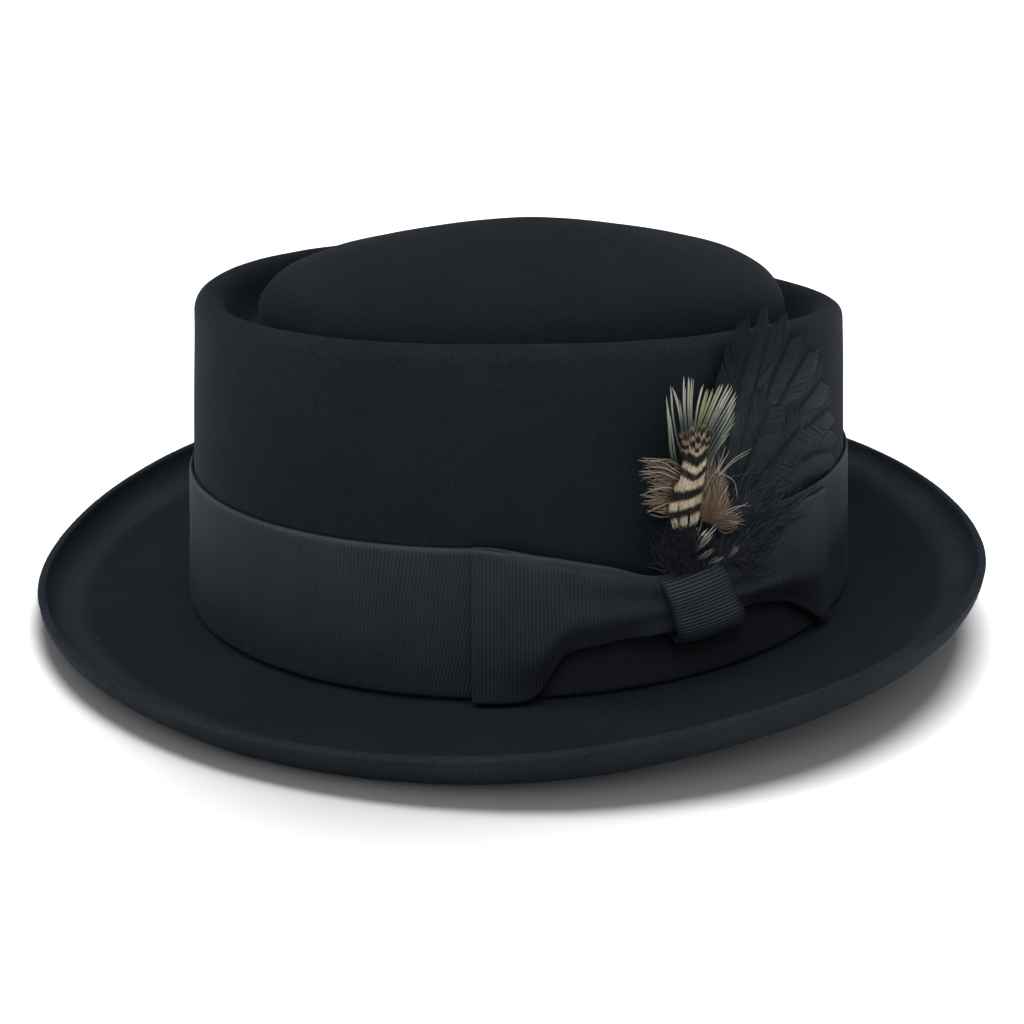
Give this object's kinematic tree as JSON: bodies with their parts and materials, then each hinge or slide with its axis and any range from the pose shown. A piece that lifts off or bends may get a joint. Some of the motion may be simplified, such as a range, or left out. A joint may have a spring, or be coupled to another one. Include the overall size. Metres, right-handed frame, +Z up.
{
  "type": "porkpie hat",
  "caption": "Felt porkpie hat with a raised tip inside a gutter, a brim curled up all round, a ribbon band with a flat side bow and a feather trim.",
  "frame": {"origin": "middle of the footprint, on the surface that the hat rests on", "axes": "+Z up through the crown, -Y toward the front of the hat, +X toward the wearer's left, where the bow is"},
  "size_m": [0.264, 0.274, 0.1031],
  "materials": {
    "felt": "smooth blue-black fur felt, matt with a soft sheen on the turned edges",
    "grosgrain": "black grosgrain ribbon with fine ribs across its width",
    "black_feather": "glossy black vanes and soft black down",
    "brown_feather": "soft brown and cream down",
    "pale_feather": "silvery grey-green separated barbs",
    "barred_feather": "cream vane with dark brown bars"
  },
  "bodies": {
    "root": {"felt_body": "felt", "hat_band": "grosgrain", "bow_front_loop": "grosgrain", "bow_back_loop": "grosgrain", "bow_knot": "grosgrain", "black_feathers": "black_feather", "black_down": "black_feather", "brown_down": "brown_feather", "pale_spray": "pale_feather", "barred_feather": "barred_feather"}
  },
  "joints": []
}
